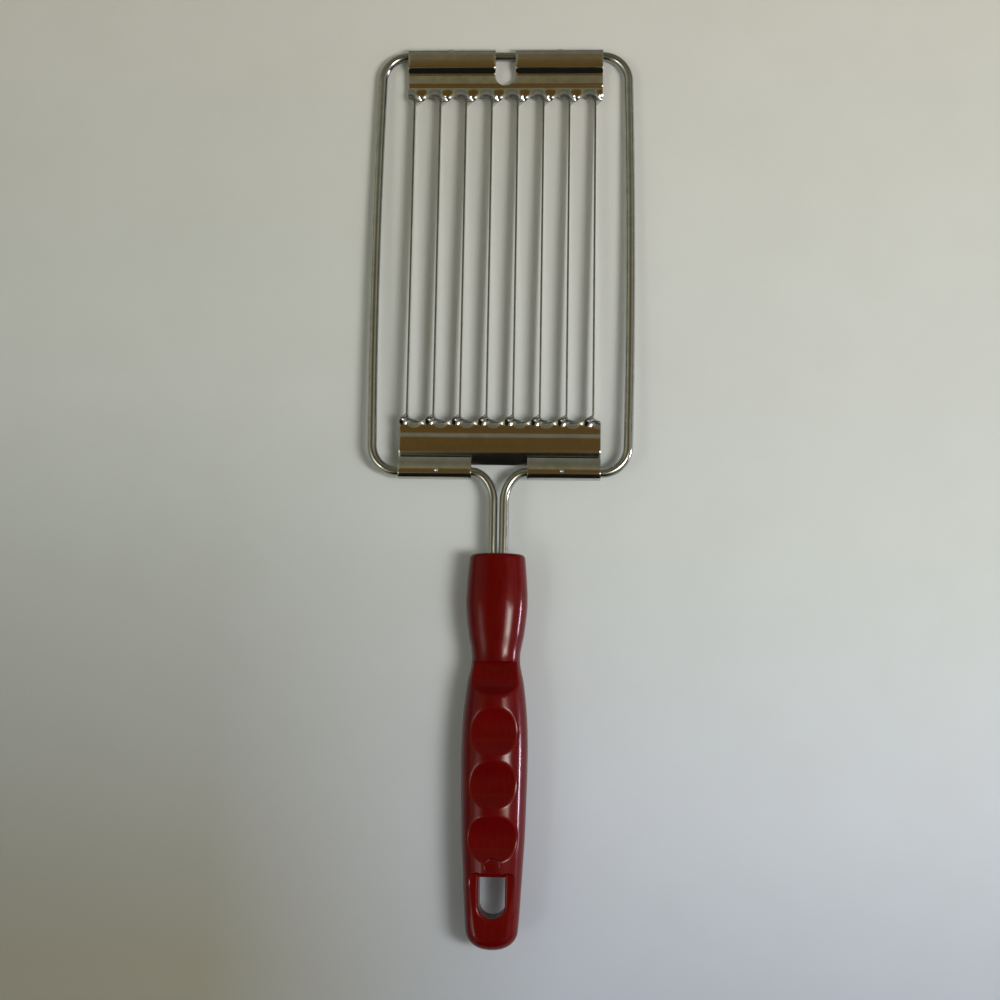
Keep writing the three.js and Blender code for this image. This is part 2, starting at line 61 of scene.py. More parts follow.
# Blade gang
SHEET = 0.6
WIRE_CLEARANCE = 0.3
BLADE_COUNT = 8
BLADE_PITCH = 8.4
BLADE_WIDTH = 4.8
FAR_LAP = 4.7
FAR_FLAT = 4.4
FAR_MOUNT_ACROSS = 18
FAR_SLOPE = 1.7
FAR_PLAIN = 3.3
FAR_STEP_RUN = 1.4
FAR_WEB = 3.1
FAR_TWIST_RUN = 3
NEAR_SLOPE_START = 6.8
NEAR_PLAIN = 4.1
NEAR_STEP_RUN = 1.6
NEAR_RIM = 0.9
NEAR_WEB = 2.7
NEAR_TWIST_RUN = 2.4
PLAIN_RISE = 0.35
TAB_LAP = 4.4
FAR_PINCH = 0.2
TAB_PINCH = 0.55
PINCH_START = 0.9
FOLD_RUN = 0.7
TWIST_TURN = math.pi / 2
TWIST_POWER = 1.5
EDGE_BEVEL = 1.2
EDGE_THICKNESS = 0.12
NOTCH_WIDTH = 6.7
NOTCH_REACH = 10.1
TAB_GAP = 17.7
CENTRE_LIP = 2.5
STAKE_RADIUS = 0.9
STAKE_DEPTH = 0.25
STAKE_SPLITS = 4
FAR_STAKE_TURN = math.radians(38)
FAR_STAKE_SPREAD = 35.6
NEAR_STAKE_SPREAD = 39.4
STRIP_COLUMNS = 8
HEM_STEPS = 14
FOLD_STEPS = 6
WEB_STEPS = 8
ARCH_STEPS = 10
TWIST_STEPS = 8
BLADE_STEPS = 30
EDGE_ROUND = 0.06
EDGE_SEGMENTS = 2
EDGE_ANGLE = math.radians(50)

# Handle
HANDLE_LENGTH = 119.1
GRIP_WIDTH = 20.4
GRIP_DEPTH = 17
TOP_ROUND = 1.2
END_ROUND = 5.5
ROUND_POWER = 2.2
SECTION_POWER = 2.25
NECK_POWER = 2.6
NECK_REACH = 45
STEP_DOWN = 33
STEP_DEPTH = 3
STEP_RIM = 0.15
STEP_REACH = 0.6
STEP_ROWS = 20
HOLLOW_LENGTH = 7
HOLLOW_DEPTH = 2.8
HOLLOW_RISE_LENGTH = 3.6
HOLLOW_RISE_DEPTH = 0.05
HOLLOW_ROUND = 0.9
HOLLOW_RIM = 0.3
GROOVES = ((32.8, 13.3, 2.5), (49.1, 13.4, 2), (65.4, 13.8, 2))
GROOVE_RIM = 0.45
MARK_DIA = 4.4
MARK_DEPTH = 0.06
MARK_RIM = 0.22
MARK_RISE = 0.18
MARK_UP = 25.3
HOLE_WIDTH = 8
HOLE_LENGTH = 12.2
HOLE_UP = 21.8
HOLE_ROUND = 3.9
HOLE_FLARE = 0.9
HOLE_FLARE_DEPTH = 0.4
TONGUE_UP = 23.3
TONGUE_TOP_WIDTH = 14.6
TONGUE_TAIL_WIDTH = 12.4
TONGUE_ROUND = 2.2
TONGUE_TOP_DEPTH = 2.6
TONGUE_SLOPE = 0.015
TONGUE_DRAFT = 0.5
TONGUE_CORNER = 0.5
TONGUE_RIM = 0.8
BORE_PLAY = 0.06
SECTION_SIDES = 156
HANDLE_STEPS = 340
ROUND_STEPS = 14
CROWN_SHARE = 0.4
GRIP_SHARES = (
    (0, 0.843, 0.86),
    (0.121, 0.936, 0.925),
    (0.2, 0.855, 0.86),
    (0.271, 0.728, 0.8),
    (0.337, 0.86, 0.925),
    (0.415, 0.96, 0.965),
    (0.497, 1, 1),
    (0.622, 0.98, 0.985),
    (0.723, 0.945, 0.945),
    (0.798, 0.895, 0.88),
    (0.871, 0.845, 0.79),
    (0.93, 0.8, 0.7),
    (1, 0.72, 0.6),
)

# Angles in degrees from which each piece's edges are sharp
WIRE_SHARP_FROM = 40
GANG_SHARP_FROM = 30
HANDLE_SHARP_FROM = 50

wire_radius = WIRE_DIA / 2
hem_radius = wire_radius + WIRE_CLEARANCE + SHEET / 2
slot_half = (BLADE_PITCH - BLADE_WIDTH) / 2
handle_top = -LEG_BEND_DROP - LEG_FREE_LENGTH
far_step = FRAME_LENGTH - FAR_FLAT - FAR_SLOPE - FAR_PLAIN
far_root = far_step - FAR_STEP_RUN
near_step = NEAR_SLOPE_START + NEAR_PLAIN
near_root = near_step + NEAR_STEP_RUN + NEAR_RIM
tongue_down = HANDLE_LENGTH - TONGUE_UP
overrun = 3


# Where the flat drawing lies in the frame, read off the mount on the front of the far hem
def laid_down():
    mount = next(m for m in frame["record"]["mounts"] if m["name"] == "far_hem_front_face")
    tilt = math.atan2(mount["axis"][1], mount["axis"][2])
    turn = Matrix.Rotation(-tilt, 4, "X") @ Matrix.Scale(MM, 4)
    drawn = Vector((FAR_MOUNT_ACROSS, FRAME_LENGTH - FAR_FLAT / 2, hem_radius + SHEET / 2))
    return Matrix.Translation(Vector(mount["pos_m"]) - turn @ drawn) @ turn


def smooth(share):
    held = min(max(share, 0), 1)
    return held * held * (3 - 2 * held)


def mix(a, b, share):
    return a + (b - a) * share


# Lower of two heights, with the corner between them rounded
def rounded_low(a, b, run):
    share = min(max(0.5 + 0.5 * (b - a) / run, 0), 1)
    return mix(b, a, share) - run * share * (1 - share)


def rounded_high(a, b, run):
    return -rounded_low(-a, -b, run)


# Object of a bmesh, still flat and in millimetres
def drawn_object(bm, name):
    mesh = bpy.data.meshes.new(name)
    bm.to_mesh(mesh)
    bm.free()
    piece = bpy.data.objects.new(name, mesh)
    bpy.context.scene.collection.objects.link(piece)
    return piece


# Bakes a piece's modifiers into its mesh
def bake(piece):
    graph = bpy.context.evaluated_depsgraph_get()
    baked = bpy.data.meshes.new_from_object(piece.evaluated_get(graph))
    piece.modifiers.clear()
    piece.data = baked


def cut(piece, cutters):
    for cutter in cutters:
        boolean = piece.modifiers.new("cut", "BOOLEAN")
        boolean.operation = "DIFFERENCE"
        boolean.solver = "EXACT"
        boolean.object = cutter
    bake(piece)
    for cutter in cutters:
        bpy.data.objects.remove(cutter)


# Lays a finished piece down in the frame and hands it over
def hand_over(piece, node, sharp_from):
    piece.data.transform(laid_down())
    piece.data.shade_smooth()
    piece.data.set_sharp_from_angle(angle=math.radians(sharp_from))
    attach(piece, "root")
    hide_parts(node)


# Prism of an outline given in X and Y, from a low to a high Z
def prism(outline, low, high, name):
    bm = bmesh.new()
    face = bm.faces.new([bm.verts.new((x, y, low)) for x, y in outline])
    top = bmesh.ops.extrude_face_region(bm, geom=[face])["geom"]
    lifted = [v for v in top if isinstance(v, bmesh.types.BMVert)]
    bmesh.ops.translate(bm, vec=(0, 0, high - low), verts=lifted)
    bmesh.ops.recalc_face_normals(bm, faces=bm.faces)
    return drawn_object(bm, name)


def arc(x, y, radius_x, radius_y, start, end, steps):
    turns = [mix(start, end, k / steps) for k in range(steps + 1)]
    return [(x + radius_x * math.cos(a), y + radius_y * math.sin(a)) for a in turns]


# Wire frame

# Centre line of the right half, from the leg's end to the middle of the far run
def half_wire_path():
    leg_x = LEG_SPACING / 2
    near_half = NEAR_FRAME_WIDTH / 2
    far_half = FAR_FRAME_WIDTH / 2
    quarter = math.pi / 2
    path = [(leg_x, handle_top - LEG_IN_HANDLE), (leg_x, handle_top)]
    path += arc(
        leg_x + LEG_BEND_RUN, -LEG_BEND_DROP, LEG_BEND_RUN, LEG_BEND_DROP, 2 * quarter, quarter, BEND_STEPS
    )
    path += arc(
        near_half - CORNER_RADIUS, CORNER_RADIUS, CORNER_RADIUS, CORNER_RADIUS, -quarter, 0, BEND_STEPS
    )
    low = Vector((near_half, CORNER_RADIUS))
    high = Vector((far_half, FRAME_LENGTH - CORNER_RADIUS))
    for k in range(1, BEND_STEPS):
        share = k / BEND_STEPS
        bow = Vector((4 * SIDE_BOW * share * (1 - share), 0))
        path.append(tuple(low.lerp(high, share) + bow))
    far_y = FRAME_LENGTH - CORNER_RADIUS
    path += arc(far_half - CORNER_RADIUS, far_y, CORNER_RADIUS, CORNER_RADIUS, 0, quarter, BEND_STEPS)
    path.append((0, FRAME_LENGTH))
    return [Vector(point) for point in path]


# Frame of a wire's section at a point of its path: Y along the wire
def section_frame(path, i):
    before = path[max(i - 1, 0)]
    after = path[min(i + 1, len(path) - 1)]
    along = after - before
    turn = math.atan2(along.y, along.x) - math.pi / 2
    return Matrix.Translation((path[i].x, path[i].y, 0)) @ Matrix.Rotation(turn, 4, "Z")


def wire_frame(material):
    bm = bmesh.new()
    path = half_wire_path()
    stand = section_frame(path, 0) @ Matrix.Rotation(math.pi / 2, 4, "X")
    bmesh.ops.create_circle(bm, cap_ends=True, segments=WIRE_SIDES, radius=wire_radius, matrix=stand)
    ring = list(bm.edges)
    for i in range(1, len(path)):
        grown = bmesh.ops.extrude_edge_only(bm, edges=ring)["geom"]
        corners = {v for v in grown if isinstance(v, bmesh.types.BMVert)}
        step = section_frame(path, i) @ section_frame(path, i - 1).inverted()
        bmesh.ops.transform(bm, matrix=step, verts=list(corners))
        ring = [e for e in grown if isinstance(e, bmesh.types.BMEdge) and set(e.verts) <= corners]
    bmesh.ops.mirror(bm, geom=bm.verts[:] + bm.edges[:] + bm.faces[:], axis="X", merge_dist=MM)
    bmesh.ops.recalc_face_normals(bm, faces=bm.faces)
    piece = drawn_object(bm, "wire_frame_fine")
    piece.data.materials.append(material)
    return piece


# Blade gang

# Line through corners in Y and Z, its inner corners rounded over the fold's run
def folded(corners):
    line = [corners[0]]
    for before, corner, after in zip(corners, corners[1:], corners[2:]):
        start = corner + (before - corner).normalized() * FOLD_RUN
        end = corner + (after - corner).normalized() * FOLD_RUN
        for k in range(FOLD_STEPS + 1):
            share = k / FOLD_STEPS
            line.append(start.lerp(corner, share).lerp(corner.lerp(end, share), share))
    return line + [corners[-1]]


# Points along a shallow step in the sheet, level at both of its ends
def step_line(start, end):
    places = [k / (2 * FOLD_STEPS) for k in range(1, 2 * FOLD_STEPS)]
    return [Vector((mix(start[0], end[0], s), mix(start[1], end[1], smooth(s)))) for s in places]


# Far bar: the lap behind the wire, the roll round it, the flat in front, the slope down to the
# plain strip and the step down to the blades
def far_bar_line():
    flat_end = FRAME_LENGTH - FAR_FLAT
    slope_end = flat_end - FAR_SLOPE
    roll = arc(FRAME_LENGTH, 0, hem_radius, hem_radius, -math.pi / 2, math.pi / 2, HEM_STEPS)
    plain = [(slope_end, PLAIN_RISE), (far_step, PLAIN_RISE)]
    pinched = hem_radius - FAR_PINCH * PINCH_START / FAR_FLAT
    flat = [(FRAME_LENGTH - PINCH_START, pinched), (flat_end, hem_radius - FAR_PINCH)]
    front = [(FRAME_LENGTH, hem_radius)] + flat + plain
    lap = [(FRAME_LENGTH - FAR_LAP, -hem_radius)]
    down = step_line(plain[-1], (far_root, 0))
    return [Vector(p) for p in lap + roll] + folded([Vector(p) for p in front])[1:] + down


# Near bar: the step up to the plain strip, the slope down behind the wire, which runs straight
# on into the roll round it, and the tab in front
def near_bar_line():
    up = step_line((near_root - NEAR_RIM, 0), (near_step, PLAIN_RISE))
    fold = Vector((NEAR_SLOPE_START, PLAIN_RISE))
    slope = math.asin(hem_radius / fold.length) + math.atan2(fold.y, fold.x)
    roll = arc(0, 0, hem_radius, hem_radius, slope - math.pi / 2, -3 * math.pi / 2, HEM_STEPS)
    back = [Vector((near_step, PLAIN_RISE)), fold, Vector(roll[0])]
    pinched = hem_radius - TAB_PINCH * PINCH_START / TAB_LAP
    tab = [(PINCH_START, pinched), (TAB_LAP, hem_radius - TAB_PINCH)]
    return up + folded(back) + [Vector(p) for p in roll[1:] + tab]


# Rows from a root line to the straight blade: how far each lies from the root, half the slot
# beside it, how much it still follows the web, and the blade's turn
def twist_rows(web, run):
    rows = [(web * i / WEB_STEPS, 0, 1) for i in range(WEB_STEPS)]
    for i in range(ARCH_STEPS + 1):
        angle = math.pi / 2 * i / ARCH_STEPS
        past = slot_half * (1 - math.cos(angle))
        rows.append((web + past, slot_half * math.sin(angle), 1 - smooth(past / slot_half)))
    for i in range(1, TWIST_STEPS + 1):
        rows.append((web + slot_half + (run - slot_half) * i / TWIST_STEPS, slot_half, 0))
    reach = web + run
    return [(far, slot, hold, TWIST_TURN * smooth(far / reach) ** TWIST_POWER) for far, slot, hold in rows]


# Every row of the sheet from the far lap's edge to the near tabs' edge, as its Y and Z, half
# its slot, its hold on the web and its turn
def sheet_rows():
    far_twist = twist_rows(FAR_WEB, FAR_TWIST_RUN)
    near_twist = twist_rows(NEAR_WEB, NEAR_TWIST_RUN)
    far = [(p.x, p.y, 0, 1, 0) for p in far_bar_line()]
    far += [(far_root - away, 0, slot, hold, turn) for away, slot, hold, turn in far_twist]
    near = [(near_root + away, 0, slot, hold, turn) for away, slot, hold, turn in near_twist]
    top, end = far[-1][0], near[-1][0]
    blade = [(mix(top, end, i / BLADE_STEPS), 0, slot_half, 0, TWIST_TURN) for i in range(1, BLADE_STEPS)]
    rim = [(near_root - NEAR_RIM, 0, 0, 1, 0)]
    return far + blade + near[::-1] + rim + [(p.x, p.y, 0, 1, 0) for p in near_bar_line()]


# Place on the sheet's middle plane of one strip's share of a row
def strip_place(strip, share, row):
    y, z, slot, hold, turn = row
    middle = (strip - (BLADE_COUNT - 1) / 2) * BLADE_PITCH
    outer = strip == 0 if share < 0 else strip == BLADE_COUNT - 1
    side = share * (BLADE_WIDTH / 2 if outer else BLADE_PITCH / 2 - slot)
    wave_turn = 2 * math.pi / BLADE_PITCH
    wave = -math.tan(turn * hold) * math.sin(wave_turn * side) / wave_turn
    x = middle + side * mix(math.cos(turn), 1, hold)
    return Vector((x, y, z + mix(-side * math.sin(turn), wave, hold)))


def blade_sheet(materials):
    rows = sheet_rows()
    columns = BLADE_COUNT * (STRIP_COLUMNS + 1) - 1
    bm = bmesh.new()
    bmesh.ops.create_grid(bm, x_segments=columns, y_segments=len(rows) - 1, size=1)
    weight = bm.verts.layers.deform.verify()
    place_of = {}
    for v in bm.verts:
        column = round((v.co.x + 1) / 2 * columns)
        r = round((1 - v.co.y) / 2 * (len(rows) - 1))
        strip, step = divmod(column, STRIP_COLUMNS + 1)
        place_of[v] = (r, step)
        share = 2 * step / STRIP_COLUMNS - 1
        v.co = strip_place(strip, share, rows[r])
        bevel_share = EDGE_BEVEL / (BLADE_WIDTH / 2)
        ground = max(share - 1 + bevel_share, 0) / bevel_share * (1 - rows[r][3])
        v[weight][0] = mix(1, EDGE_THICKNESS / SHEET, ground)
    between = [f for f in bm.faces if {place_of[v][1] for v in f.verts} == {0, STRIP_COLUMNS}]
    gaps = [f for f in between if any(rows[place_of[v][0]][2] for v in f.verts)]
    bmesh.ops.delete(bm, geom=gaps, context="FACES")
    bmesh.ops.remove_doubles(bm, verts=bm.verts, dist=MM)
    bmesh.ops.recalc_face_normals(bm, faces=bm.faces)
    piece = drawn_object(bm, "blade_gang_fine")
    for material in materials:
        piece.data.materials.append(material)
    piece.vertex_groups.new(name="thickness")
    plate = piece.modifiers.new("plate", "SOLIDIFY")
    plate.thickness = SHEET
    plate.offset = 0
    plate.use_even_offset = True
    plate.vertex_group = "thickness"
    plate.material_offset_rim = 1
    bake(piece)
    return piece


def notch_cutter():
    half = NOTCH_WIDTH / 2
    apex = FRAME_LENGTH - NOTCH_REACH + half
    outer = FRAME_LENGTH + hem_radius + overrun
    outline = arc(0, apex, half, half, math.pi, 2 * math.pi, WIRE_SIDES) + [(half, outer), (-half, outer)]
    return prism(outline, -hem_radius - overrun, hem_radius + overrun, "notch")


# Clears the middle of the near bar for the two legs, down to the slope's lip behind the wire
def tab_gap_cutters():
    half = TAB_GAP / 2
    out = hem_radius + overrun
    lap_end = (TAB_LAP + NEAR_SLOPE_START) / 2
    lip = [(-half, -out), (half, -out), (half, CENTRE_LIP), (-half, CENTRE_LIP)]
    lap = [(-half, 0), (half, 0), (half, lap_end), (-half, lap_end)]
    return [prism(lip, -out, out, "lip_gap"), prism(lap, hem_radius / 2, out, "lap_gap")]


def stake_cutters():
    places = ((FAR_STAKE_SPREAD / 2, FRAME_LENGTH, FAR_STAKE_TURN), (NEAR_STAKE_SPREAD / 2, 0, 0))
    reach = hem_radius + SHEET / 2 + STAKE_RADIUS - STAKE_DEPTH
    cutters = []
    for x, y, turn in places:
        for side in (-1, 1):
            bm = bmesh.new()
            centre = Matrix.Translation((side * x, y + reach * math.sin(turn), reach * math.cos(turn)))
            bmesh.ops.create_icosphere(bm, subdivisions=STAKE_SPLITS, radius=STAKE_RADIUS, matrix=centre)
            cutters.append(drawn_object(bm, "stake"))
    return cutters


def blade_gang(materials):
    piece = blade_sheet(materials)
    cut(piece, [notch_cutter(), *tab_gap_cutters(), *stake_cutters()])
    edge = piece.modifiers.new("edge", "BEVEL")
    edge.width = EDGE_ROUND
    edge.segments = EDGE_SEGMENTS
    edge.limit_method = "ANGLE"
    edge.angle_limit = EDGE_ANGLE
    bake(piece)
    return piece


# Handle

# Half width and half depth at a length down the handle, on a smooth line through the shares
def grip_at(down):
    share = min(max(down / HANDLE_LENGTH, 0), 1)
    i = next(k for k in range(1, len(GRIP_SHARES)) if share <= GRIP_SHARES[k][0])
    at = [GRIP_SHARES[min(max(k, 0), len(GRIP_SHARES) - 1)] for k in (i - 2, i - 1, i, i + 1)]
    span = at[2][0] - at[1][0]
    s = (share - at[1][0]) / span
    sizes = []
    for axis, full in ((1, GRIP_WIDTH / 2), (2, GRIP_DEPTH / 2)):
        start = (at[2][axis] - at[0][axis]) / (at[2][0] - at[0][0]) * span
        end = (at[3][axis] - at[1][axis]) / (at[3][0] - at[1][0]) * span
        value = (
            (2 * s**3 - 3 * s**2 + 1) * at[1][axis]
            + (s**3 - 2 * s**2 + s) * start
            + (3 * s**2 - 2 * s**3) * at[2][axis]
            + (s**3 - s**2) * end
        )
        sizes.append(full * value)
    return sizes


# Rings of the grip from its top to its end: how far down, how far drawn in, and its share
def grip_rings():
    rings = []
    for i in range(ROUND_STEPS + 1):
        angle = math.pi / 2 * (1 - i / ROUND_STEPS)
        rings.append((TOP_ROUND * (1 - math.sin(angle)), TOP_ROUND * (1 - math.cos(angle)), 1))
    round_from = HANDLE_LENGTH - END_ROUND
    plain = [mix(TOP_ROUND, round_from, i / HANDLE_STEPS) for i in range(1, HANDLE_STEPS + 1)]
    plain = [down for down in plain if abs(down - STEP_DOWN) > STEP_REACH]
    plain += [STEP_DOWN + mix(-STEP_REACH, STEP_REACH, i / STEP_ROWS) for i in range(STEP_ROWS + 1)]
    rings += [(down, 0, 1) for down in sorted(plain)]
    for i in range(1, 3 * ROUND_STEPS):
        share = math.sin(math.pi / 2 * i / (3 * ROUND_STEPS))
        rings.append((round_from + END_ROUND * share, 0, (1 - share**ROUND_POWER) ** (1 / ROUND_POWER)))
    return rings


def power(value, exponent):
    return math.copysign(abs(value) ** exponent, value)


# Height of the hollow below the neck's step: its flat floor and its steep rise
def hollow_height(down):
    floor_end = STEP_DOWN + HOLLOW_LENGTH
    end = floor_end + HOLLOW_RISE_LENGTH
    start_z = grip_at(STEP_DOWN)[1] - STEP_DEPTH
    floor_z = grip_at(floor_end)[1] - HOLLOW_DEPTH
    end_z = grip_at(end)[1] - HOLLOW_RISE_DEPTH
    floor = mix(start_z, floor_z, (down - STEP_DOWN) / HOLLOW_LENGTH)
    rise = mix(floor_z, end_z, (down - floor_end) / HOLLOW_RISE_LENGTH)
    return rounded_high(floor, rise, HOLLOW_ROUND)


# How far a quarter-round rim has dropped at a distance outside its edge
def rim_drop(outside, radius):
    share = 1 - min(max(outside, 0) / radius, 1)
    return radius * (1 - math.sqrt(1 - share**2))


# Height of a round groove across the front, well above the body past the groove's ends
def groove_height(down, centre, length, depth):
    radius = ((length / 2) ** 2 + depth**2) / (2 * depth)
    along = min(abs(down - centre), radius)
    return grip_at(centre)[1] - depth + radius - math.sqrt(radius**2 - along**2)


# How far a point lies outside the tongue's outline, negative within it
def tongue_outline(x, down):
    share = (down - tongue_down) / TONGUE_UP
    side = abs(x) - mix(TONGUE_TOP_WIDTH, TONGUE_TAIL_WIDTH, share) / 2
    return rounded_high(side, tongue_down - down, TONGUE_ROUND)


# How far a point lies outside the hanging hole's outline, negative within it
def hole_outline(x, down):
    middle = HANDLE_LENGTH - HOLE_UP + HOLE_LENGTH / 2
    along = down - middle
    corner = HOLE_ROUND if along > 0 else 0
    past_x = abs(x) - HOLE_WIDTH / 2 + corner
    past_y = abs(along) - HOLE_LENGTH / 2 + corner
    return math.hypot(max(past_x, 0), max(past_y, 0)) + min(max(past_x, past_y), 0) - corner


# How much the hanging hole's softened rim takes off the surface at a point
def hole_flare(x, down):
    share = 1 - min(max(hole_outline(x, down), 0) / HOLE_FLARE, 1)
    return HOLE_FLARE_DEPTH * share**2


# Height of the front at a point of the handle, with everything moulded into it
def front_height(x, down, z):
    hollow_end = STEP_DOWN + HOLLOW_LENGTH + HOLLOW_RISE_LENGTH
    if down < STEP_DOWN:
        z -= rim_drop(STEP_DOWN - down, STEP_RIM)
    elif down < hollow_end + overrun:
        z = rounded_low(z, hollow_height(down), HOLLOW_RIM)
    for up, length, depth in GROOVES:
        centre = HANDLE_LENGTH - up
        if abs(down - centre) < length / 2 + overrun:
            z = rounded_low(z, groove_height(down, centre, length, depth), GROOVE_RIM)
    outside = tongue_outline(x, down)
    if outside < TONGUE_DRAFT + TONGUE_RIM:
        floor = grip_at(tongue_down)[1] - TONGUE_TOP_DEPTH - TONGUE_SLOPE * (down - tongue_down)
        wall = floor + (outside + TONGUE_DRAFT) / TONGUE_DRAFT * TONGUE_TOP_DEPTH
        z = rounded_low(z, rounded_high(floor, wall, TONGUE_CORNER), TONGUE_RIM)
    mark = math.hypot(x, down - HANDLE_LENGTH + MARK_UP)
    if mark < MARK_DIA / 2 + MARK_RIM:
        ring = min(abs(mark - MARK_DIA / 2) / MARK_RIM, 1)
        z += MARK_RISE * (1 - ring**2) ** 2 - MARK_DEPTH * smooth((MARK_DIA / 2 - mark) / MARK_RIM)
    return z - hole_flare(x, down)


# Whether a point of the handle lies near the round mark
def near_mark(x, down, z):
    return z > 0 and abs(math.hypot(x, down - HANDLE_LENGTH + MARK_UP) - MARK_DIA / 2) < 3 * MARK_RIM


# Whether a point of the handle lies near a rim that needs finer faces
def near_rim(x, down, z):
    if hole_outline(x, down) < HOLE_FLARE + TONGUE_RIM:
        return True
    if z < 0:
        return False
    if abs(tongue_outline(x, down)) < TONGUE_DRAFT + 2 * TONGUE_RIM:
        return True
    return near_mark(x, down, z)


def grip_body():
    rings = grip_rings()
    bm = bmesh.new()
    ends = [bm.verts.new((1, 0, 0)), bm.verts.new((1, len(rings) - 1, 0))]
    line = bm.edges.new(ends)
    bmesh.ops.subdivide_edges(bm, edges=[line], cuts=len(rings) - 2)
    bmesh.ops.spin(
        bm,
        geom=bm.verts[:] + bm.edges[:],
        cent=(0, 0, 0),
        axis=(0, 1, 0),
        angle=2 * math.pi,
        steps=SECTION_SIDES,
        use_merge=True,
    )
    for v in bm.verts:
        down, drawn_in, share = rings[round(v.co.y)]
        even = math.atan2(v.co.z, v.co.x)
        angle = even + CROWN_SHARE * math.cos(even)
        half_width, half_depth = grip_at(down)
        exponent = 2 / mix(NECK_POWER, SECTION_POWER, smooth(down / NECK_REACH))
        x = power(math.cos(angle), exponent) * (half_width - drawn_in) * share
        z = power(math.sin(angle), exponent) * (half_depth - drawn_in) * share
        v.co = (x, handle_top - down, z)
    bmesh.ops.holes_fill(bm, edges=[e for e in bm.edges if e.is_boundary], sides=0)
    bmesh.ops.recalc_face_normals(bm, faces=bm.faces)
    for near in (near_rim, near_mark):
        fine = [e for e in bm.edges if all(near(v.co.x, handle_top - v.co.y, v.co.z) for v in e.verts)]
        bmesh.ops.subdivide_edges(bm, edges=fine, cuts=1, use_grid_fill=True)
    for v in bm.verts:
        if v.co.z > 0:
            v.co.z = front_height(v.co.x, handle_top - v.co.y, v.co.z)
        elif v.co.z < 0:
            v.co.z += hole_flare(v.co.x, handle_top - v.co.y)
    return drawn_object(bm, "handle_fine")


# Hanging hole, square at its top and rounded at its lower end
def hole_cutter():
    half = HOLE_WIDTH / 2
    top = handle_top - HANDLE_LENGTH + HOLE_UP
    end = top - HOLE_LENGTH
    outline = [(half, top), (-half, top)]
    quarter = math.pi / 2
    for x, turns in ((HOLE_ROUND - half, 2), (half - HOLE_ROUND, 3)):
        start = turns * quarter
        outline += arc(x, end + HOLE_ROUND, HOLE_ROUND, HOLE_ROUND, start, start + quarter, ROUND_STEPS)
    return prism(outline, -GRIP_DEPTH, GRIP_DEPTH, "hole")


def bore_cutters():
    cutters = []
    for side in (-1, 1):
        bm = bmesh.new()
        depth = LEG_IN_HANDLE + BORE_PLAY + overrun
        middle = Vector((side * LEG_SPACING / 2, handle_top + overrun - depth / 2, 0))
        lie = Matrix.Translation(middle) @ Matrix.Rotation(math.pi / 2, 4, "X")
        radius = wire_radius + BORE_PLAY
        bmesh.ops.create_cone(
            bm,
            cap_ends=True,
            segments=2 * WIRE_SIDES,
            radius1=radius,
            radius2=radius,
            depth=depth,
            matrix=lie,
        )
        cutters.append(drawn_object(bm, "bore"))
    return cutters


def handle(material):
    piece = grip_body()
    cut(piece, [hole_cutter(), *bore_cutters()])
    piece.data.materials.clear()
    piece.data.materials.append(material)
    return piece


# Materials

# Colours of each plate, where it is bright and where it is dull, its roughness and the stretch
# of its draw lines
WIRE_FINISH = ((0.46, 0.47, 0.43, 1), (0.37, 0.38, 0.34, 1), 0.16, (1, 1, 1))
SHEET_FINISH = ((0.64, 0.63, 0.6, 1), (0.54, 0.53, 0.49, 1), 0.1, (1, 0.1, 1))
CUT_FINISH = ((0.3, 0.31, 0.29, 1), (0.18, 0.19, 0.17, 1), 0.3, (1, 0.1, 1))
NOISE_ROUGHNESS = 0.6
STAIN_SCALE = 260
STAIN_DETAIL = 5
STAIN_RANGE = (0.35, 0.62)
DULL_RANGE = (0.3, 0.7)
DULL_SHARE = 1.5
PIT_SCALE = 4200
PIT_DETAIL = 2
PIT_STRENGTH = 0.1
PIT_DEPTH = 0.00003
SCRATCH_SCALE = 3500
SCRATCH_DETAIL = 3
SCRATCH_STRENGTH = 0.12
SCRATCH_DEPTH = 0.00002

# The moulded plastic: its two reds, its clouds, its scuffs along the grip, its long waves and
# its grain
DEEP_RED = (0.085, 0.0009, 0.0009, 1)
CLEAR_RED = (0.108, 0.0013, 0.0012, 1)
CLOUD_SCALE = 90
CLOUD_DETAIL = 5
CLOUD_RANGE = (0.3, 0.7)
SCUFF_SCALE = 900
SCUFF_DETAIL = 6
SCUFF_STRETCH = (1, 0.15, 1)
SCUFF_RANGE = (0.4, 0.7)
SCUFF_ROUGHNESS = (0.25, 0.38)
SCUFF_STRENGTH = 0.06
SCUFF_DEPTH = 0.00003
WAVE_SCALE = 160
WAVE_DETAIL = 1
WAVE_STRENGTH = 0.2
WAVE_DEPTH = 0.0002
GRAIN_SCALE = 2600
GRAIN_DETAIL = 3
GRAIN_STRETCH = (1, 0.3, 1)
GRAIN_STRENGTH = 0.07
GRAIN_DEPTH = 0.00004
GLOSS_LEVEL = 0.1
GLOSS_TINT = (1, 0.5, 0.5, 1)
COAT_WEIGHT = 0.3
COAT_ROUGHNESS = 0.1


def new_material(name):
    material = bpy.data.materials.new(name)
    material.use_nodes = True
    return material, material.node_tree


def add(tree, kind, settings=None, **values):
    node = tree.nodes.new(kind)
    for key, value in (settings or {}).items():
        setattr(node, key, value)
    for key, value in values.items():
        node.inputs[key.replace("_", " ")].default_value = value
    return node


